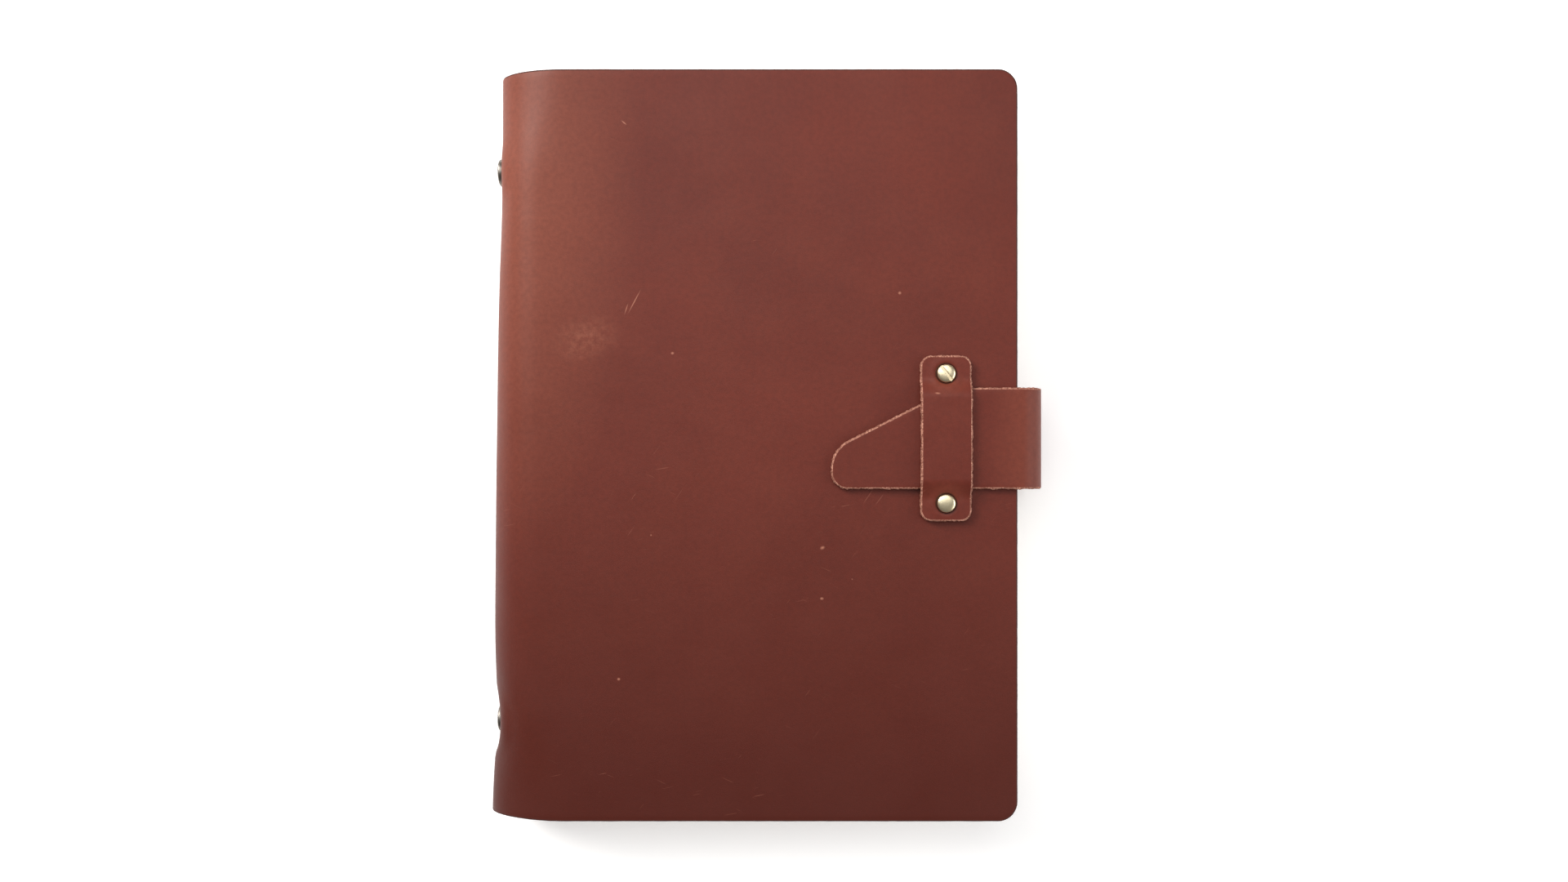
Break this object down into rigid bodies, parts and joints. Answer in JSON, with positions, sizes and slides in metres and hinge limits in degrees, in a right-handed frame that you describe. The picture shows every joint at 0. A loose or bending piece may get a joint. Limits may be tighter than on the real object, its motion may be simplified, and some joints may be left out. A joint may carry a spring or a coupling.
{
  "type": "leather notebook cover",
  "caption": "Leather ring-binder notebook cover that opens flat at its spine, with a curved strap closure under a screwed leather keeper, a sprung ring mechanism and a stack of punched paper.",
  "frame": {"origin": "centre of the closed notebook with its strap, on the underside of the back cover", "axes": "+X from the spine to the fore edge, +Y up the page, +Z out of the front cover"},
  "size_m": [0.1694, 0.23, 0.0316],
  "materials": {
    "leather": "smooth oiled pull-up leather, semi-matt, red brown, with pale raw cut edges on the strap and keeper",
    "brass": "polished solid brass, slightly worn",
    "nickel": "bright nickel plate on steel",
    "paper": "matt uncoated ivory writing paper"
  },
  "bodies": {
    "back_cover": {"cover_back": "leather"},
    "spine": {"cover_spine": "leather", "cover_back_fold": "leather", "cover_front_fold": "leather", "spine_screw_top": "nickel", "spine_screw_bottom": "nickel", "spine_post_top": "nickel", "spine_post_bottom": "nickel", "ring_housing": "nickel", "lever_pin_top": "nickel", "lever_pin_bottom": "nickel"},
    "front_cover": {"cover_front": "leather", "keeper": "leather", "keeper_screw_top": "brass", "keeper_post_top": "brass", "keeper_post_bottom": "brass", "keeper_screw_bottom": "brass"},
    "strap_riser": {"strap_lower_bend": "leather", "strap_riser": "leather"},
    "strap_tongue": {"strap_upper_bend": "leather", "strap_tongue": "leather"},
    "front_rings": {"ring_blade_front": "nickel", "ring_front_1": "nickel", "ring_front_2": "nickel", "ring_front_3": "nickel", "ring_front_4": "nickel", "ring_front_5": "nickel", "ring_front_6": "nickel"},
    "back_rings": {"ring_blade_back": "nickel", "ring_back_1": "nickel", "ring_back_2": "nickel", "ring_back_3": "nickel", "ring_back_4": "nickel", "ring_back_5": "nickel", "ring_back_6": "nickel"},
    "top_lever": {"ring_lever_top": "nickel"},
    "bottom_lever": {"ring_lever_bottom": "nickel"},
    "front_paper": {"paper_front": "paper"},
    "back_paper": {"paper_back": "paper"}
  },
  "joints": [
    {"name": "spine_fold", "type": "hinge", "parent": "back_cover", "child": "spine", "pos_m": [-0.08183, 0, 0.00392], "axis": [0, -1, 0], "range_deg": [0, 90], "deforming": ["cover_back_fold"]},
    {"name": "front_fold", "type": "hinge", "parent": "spine", "child": "front_cover", "pos_m": [-0.08183, 0, 0.02308], "axis": [0, -1, 0], "range_deg": [0, 90], "deforming": ["cover_front_fold"]},
    {"name": "front_paper_turn", "type": "hinge", "parent": "spine", "child": "front_paper", "pos_m": [-0.07225, 0, 0.0135], "axis": [0, -1, 0], "range_deg": [0, 90]},
    {"name": "back_paper_turn", "type": "hinge", "parent": "spine", "child": "back_paper", "pos_m": [-0.07225, 0, 0.0135], "axis": [0, -1, 0], "range_deg": [-90, 0]},
    {"name": "strap_fold", "type": "hinge", "parent": "back_cover", "child": "strap_riser", "pos_m": [0.08229, 0.0021, 0.00246], "axis": [0, 1, 0], "range_deg": [0, 90], "deforming": ["strap_lower_bend"]},
    {"name": "strap_unbend", "type": "hinge", "parent": "strap_riser", "child": "strap_tongue", "pos_m": [0.08229, 0.0021, 0.02684], "axis": [0, 1, 0], "range_deg": [0, 90], "deforming": ["strap_upper_bend", "strap_tongue"]},
    {"name": "rings_open", "type": "hinge", "parent": "spine", "child": "front_rings", "pos_m": [-0.08005, 0, 0.019], "axis": [0, -1, 0], "range_deg": [0, 9]},
    {"name": "back_rings_open", "type": "hinge", "parent": "spine", "child": "back_rings", "pos_m": [-0.08005, 0, 0.008], "axis": [0, 1, 0], "range_deg": [0, 9]},
    {"name": "top_lever_press", "type": "hinge", "parent": "spine", "child": "top_lever", "pos_m": [-0.07965, 0.0936, 0.0135], "axis": [0, 0, 1], "range_deg": [0, 27]},
    {"name": "bottom_lever_press", "type": "hinge", "parent": "spine", "child": "bottom_lever", "pos_m": [-0.07965, -0.0936, 0.0135], "axis": [0, 0, -1], "range_deg": [0, 27]}
  ],
  "couplings": [
    {"joint": "front_paper_turn", "follows": "front_fold", "ratio": 1},
    {"joint": "back_paper_turn", "follows": "spine_fold", "ratio": -1},
    {"joint": "strap_unbend", "follows": "strap_fold", "ratio": 1},
    {"joint": "back_rings_open", "follows": "rings_open", "ratio": 1},
    {"joint": "top_lever_press", "follows": "rings_open", "ratio": 3},
    {"joint": "bottom_lever_press", "follows": "rings_open", "ratio": 3}
  ]
}
